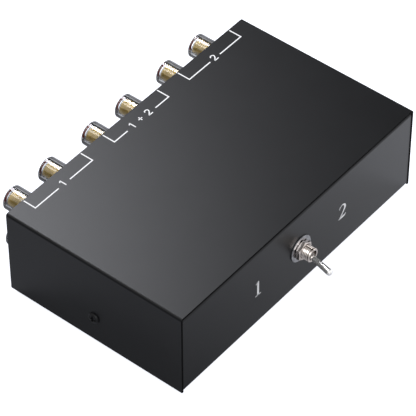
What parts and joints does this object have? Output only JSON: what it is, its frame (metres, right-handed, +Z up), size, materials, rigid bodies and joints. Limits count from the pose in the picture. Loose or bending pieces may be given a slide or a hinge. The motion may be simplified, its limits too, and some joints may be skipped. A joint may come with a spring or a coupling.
{
  "type": "speaker selector switch",
  "caption": "Passive stereo loudspeaker selector in a black steel box, with a toggle switch in front and screw-down binding posts behind.",
  "frame": {"origin": "bottom centre of the whole object's bounding box, on the surface that its feet stand on", "axes": "+X to the right along the front panel, -Y out of the front panel towards the user, +Z up"},
  "size_m": [0.1524, 0.1206, 0.0445],
  "materials": {
    "black_powder_coat": "satin black powder coat with a fine grain",
    "black_screw": "black oxide",
    "foot_rubber": "matt black rubber",
    "nickel_plate": "bright nickel plate",
    "bright_chrome": "polished chrome",
    "gold_plate": "polished gold plate over brass",
    "clear_plastic": "clear polycarbonate",
    "red_plastic": "moulded red nylon",
    "black_plastic": "moulded black nylon",
    "switch_plastic": "moulded blue switch case",
    "actuator_plastic": "natural nylon",
    "plated_steel": "zinc plate",
    "silver_contact": "silver plate",
    "red_wire_jacket": "red vinyl",
    "black_wire_jacket": "black vinyl"
  },
  "bodies": {
    "box": {"cover": "black_powder_coat", "base_tray": "black_powder_coat", "cover_screws": "black_screw", "rubber_feet": "foot_rubber", "switch_bushing": "nickel_plate", "switch_nut": "nickel_plate", "switch_lock_washer": "nickel_plate", "switch_back_nut": "nickel_plate", "switch_pivot_pin": "plated_steel", "switch_case": "switch_plastic", "switch_frame": "plated_steel", "switch_terminals": "silver_contact", "post_studs": "gold_plate", "red_collars": "red_plastic", "black_collars": "black_plastic", "post_insulators": "black_plastic", "solder_lugs": "plated_steel", "post_nuts": "nickel_plate", "red_wires": "red_wire_jacket", "black_wires": "black_wire_jacket"},
    "lever": {"switch_lever": "bright_chrome", "switch_actuator": "actuator_plastic", "switch_plungers": "silver_contact"},
    "rockers": {"switch_rockers": "silver_contact"},
    "red_cap_1_core": {"red_cap_1_insert": "gold_plate"},
    "red_cap_1_grip": {"red_cap_1": "clear_plastic", "red_cap_1_ring": "red_plastic"},
    "red_cap_2_core": {"red_cap_2_insert": "gold_plate"},
    "red_cap_2_grip": {"red_cap_2": "clear_plastic", "red_cap_2_ring": "red_plastic"},
    "red_cap_3_core": {"red_cap_3_insert": "gold_plate"},
    "red_cap_3_grip": {"red_cap_3": "clear_plastic", "red_cap_3_ring": "red_plastic"},
    "red_cap_4_core": {"red_cap_4_insert": "gold_plate"},
    "red_cap_4_grip": {"red_cap_4": "clear_plastic", "red_cap_4_ring": "red_plastic"},
    "red_cap_5_core": {"red_cap_5_insert": "gold_plate"},
    "red_cap_5_grip": {"red_cap_5": "clear_plastic", "red_cap_5_ring": "red_plastic"},
    "red_cap_6_core": {"red_cap_6_insert": "gold_plate"},
    "red_cap_6_grip": {"red_cap_6": "clear_plastic", "red_cap_6_ring": "red_plastic"},
    "black_cap_1_core": {"black_cap_1_insert": "gold_plate"},
    "black_cap_1_grip": {"black_cap_1": "clear_plastic", "black_cap_1_ring": "black_plastic"},
    "black_cap_2_core": {"black_cap_2_insert": "gold_plate"},
    "black_cap_2_grip": {"black_cap_2": "clear_plastic", "black_cap_2_ring": "black_plastic"},
    "black_cap_3_core": {"black_cap_3_insert": "gold_plate"},
    "black_cap_3_grip": {"black_cap_3": "clear_plastic", "black_cap_3_ring": "black_plastic"},
    "black_cap_4_core": {"black_cap_4_insert": "gold_plate"},
    "black_cap_4_grip": {"black_cap_4": "clear_plastic", "black_cap_4_ring": "black_plastic"},
    "black_cap_5_core": {"black_cap_5_insert": "gold_plate"},
    "black_cap_5_grip": {"black_cap_5": "clear_plastic", "black_cap_5_ring": "black_plastic"},
    "black_cap_6_core": {"black_cap_6_insert": "gold_plate"},
    "black_cap_6_grip": {"black_cap_6": "clear_plastic", "black_cap_6_ring": "black_plastic"}
  },
  "joints": [
    {"name": "switch_throw", "type": "hinge", "parent": "box", "child": "lever", "pos_m": [0, -0.04447, 0.02325], "axis": [0, 0, 1], "range_deg": [0, 25]},
    {"name": "rocker_tip", "type": "hinge", "parent": "box", "child": "rockers", "pos_m": [0, -0.03222, 0.02325], "axis": [0, 0, 1], "range_deg": [-14, 0]},
    {"name": "red_cap_1_travel", "type": "slide", "parent": "box", "child": "red_cap_1_core", "axis": [0, 1, 0], "range_m": [0, 0.0045]},
    {"name": "red_cap_1_turn", "type": "hinge", "parent": "red_cap_1_core", "child": "red_cap_1_grip", "pos_m": [-0.0586, 0.04983, 0.0335], "axis": [0, 1, 0], "range_deg": [0, 2160.5]},
    {"name": "red_cap_2_travel", "type": "slide", "parent": "box", "child": "red_cap_2_core", "axis": [0, 1, 0], "range_m": [0, 0.0045]},
    {"name": "red_cap_2_turn", "type": "hinge", "parent": "red_cap_2_core", "child": "red_cap_2_grip", "pos_m": [-0.0374, 0.04983, 0.0335], "axis": [0, 1, 0], "range_deg": [0, 2160.5]},
    {"name": "red_cap_3_travel", "type": "slide", "parent": "box", "child": "red_cap_3_core", "axis": [0, 1, 0], "range_m": [0, 0.0045]},
    {"name": "red_cap_3_turn", "type": "hinge", "parent": "red_cap_3_core", "child": "red_cap_3_grip", "pos_m": [-0.0106, 0.04983, 0.0335], "axis": [0, 1, 0], "range_deg": [0, 2160.5]},
    {"name": "red_cap_4_travel", "type": "slide", "parent": "box", "child": "red_cap_4_core", "axis": [0, 1, 0], "range_m": [0, 0.0045]},
    {"name": "red_cap_4_turn", "type": "hinge", "parent": "red_cap_4_core", "child": "red_cap_4_grip", "pos_m": [0.0106, 0.04983, 0.0335], "axis": [0, 1, 0], "range_deg": [0, 2160.5]},
    {"name": "red_cap_5_travel", "type": "slide", "parent": "box", "child": "red_cap_5_core", "axis": [0, 1, 0], "range_m": [0, 0.0045]},
    {"name": "red_cap_5_turn", "type": "hinge", "parent": "red_cap_5_core", "child": "red_cap_5_grip", "pos_m": [0.0374, 0.04983, 0.0335], "axis": [0, 1, 0], "range_deg": [0, 2160.5]},
    {"name": "red_cap_6_travel", "type": "slide", "parent": "box", "child": "red_cap_6_core", "axis": [0, 1, 0], "range_m": [0, 0.0045]},
    {"name": "red_cap_6_turn", "type": "hinge", "parent": "red_cap_6_core", "child": "red_cap_6_grip", "pos_m": [0.0586, 0.04983, 0.0335], "axis": [0, 1, 0], "range_deg": [0, 2160.5]},
    {"name": "black_cap_1_travel", "type": "slide", "parent": "box", "child": "black_cap_1_core", "axis": [0, 1, 0], "range_m": [0, 0.0045]},
    {"name": "black_cap_1_turn", "type": "hinge", "parent": "black_cap_1_core", "child": "black_cap_1_grip", "pos_m": [-0.0586, 0.04983, 0.013], "axis": [0, 1, 0], "range_deg": [0, 2160.5]},
    {"name": "black_cap_2_travel", "type": "slide", "parent": "box", "child": "black_cap_2_core", "axis": [0, 1, 0], "range_m": [0, 0.0045]},
    {"name": "black_cap_2_turn", "type": "hinge", "parent": "black_cap_2_core", "child": "black_cap_2_grip", "pos_m": [-0.0374, 0.04983, 0.013], "axis": [0, 1, 0], "range_deg": [0, 2160.5]},
    {"name": "black_cap_3_travel", "type": "slide", "parent": "box", "child": "black_cap_3_core", "axis": [0, 1, 0], "range_m": [0, 0.0045]},
    {"name": "black_cap_3_turn", "type": "hinge", "parent": "black_cap_3_core", "child": "black_cap_3_grip", "pos_m": [-0.0106, 0.04983, 0.013], "axis": [0, 1, 0], "range_deg": [0, 2160.5]},
    {"name": "black_cap_4_travel", "type": "slide", "parent": "box", "child": "black_cap_4_core", "axis": [0, 1, 0], "range_m": [0, 0.0045]},
    {"name": "black_cap_4_turn", "type": "hinge", "parent": "black_cap_4_core", "child": "black_cap_4_grip", "pos_m": [0.0106, 0.04983, 0.013], "axis": [0, 1, 0], "range_deg": [0, 2160.5]},
    {"name": "black_cap_5_travel", "type": "slide", "parent": "box", "child": "black_cap_5_core", "axis": [0, 1, 0], "range_m": [0, 0.0045]},
    {"name": "black_cap_5_turn", "type": "hinge", "parent": "black_cap_5_core", "child": "black_cap_5_grip", "pos_m": [0.0374, 0.04983, 0.013], "axis": [0, 1, 0], "range_deg": [0, 2160.5]},
    {"name": "black_cap_6_travel", "type": "slide", "parent": "box", "child": "black_cap_6_core", "axis": [0, 1, 0], "range_m": [0, 0.0045]},
    {"name": "black_cap_6_turn", "type": "hinge", "parent": "black_cap_6_core", "child": "black_cap_6_grip", "pos_m": [0.0586, 0.04983, 0.013], "axis": [0, 1, 0], "range_deg": [0, 2160.5]}
  ],
  "couplings": [
    {"joint": "rocker_tip", "follows": "switch_throw", "ratio": -0.56},
    {"joint": "red_cap_1_turn", "follows": "red_cap_1_travel", "rad_per_m": 8377.6},
    {"joint": "red_cap_2_turn", "follows": "red_cap_2_travel", "rad_per_m": 8377.6},
    {"joint": "red_cap_3_turn", "follows": "red_cap_3_travel", "rad_per_m": 8377.6},
    {"joint": "red_cap_4_turn", "follows": "red_cap_4_travel", "rad_per_m": 8377.6},
    {"joint": "red_cap_5_turn", "follows": "red_cap_5_travel", "rad_per_m": 8377.6},
    {"joint": "red_cap_6_turn", "follows": "red_cap_6_travel", "rad_per_m": 8377.6},
    {"joint": "black_cap_1_turn", "follows": "black_cap_1_travel", "rad_per_m": 8377.6},
    {"joint": "black_cap_2_turn", "follows": "black_cap_2_travel", "rad_per_m": 8377.6},
    {"joint": "black_cap_3_turn", "follows": "black_cap_3_travel", "rad_per_m": 8377.6},
    {"joint": "black_cap_4_turn", "follows": "black_cap_4_travel", "rad_per_m": 8377.6},
    {"joint": "black_cap_5_turn", "follows": "black_cap_5_travel", "rad_per_m": 8377.6},
    {"joint": "black_cap_6_turn", "follows": "black_cap_6_travel", "rad_per_m": 8377.6}
  ]
}
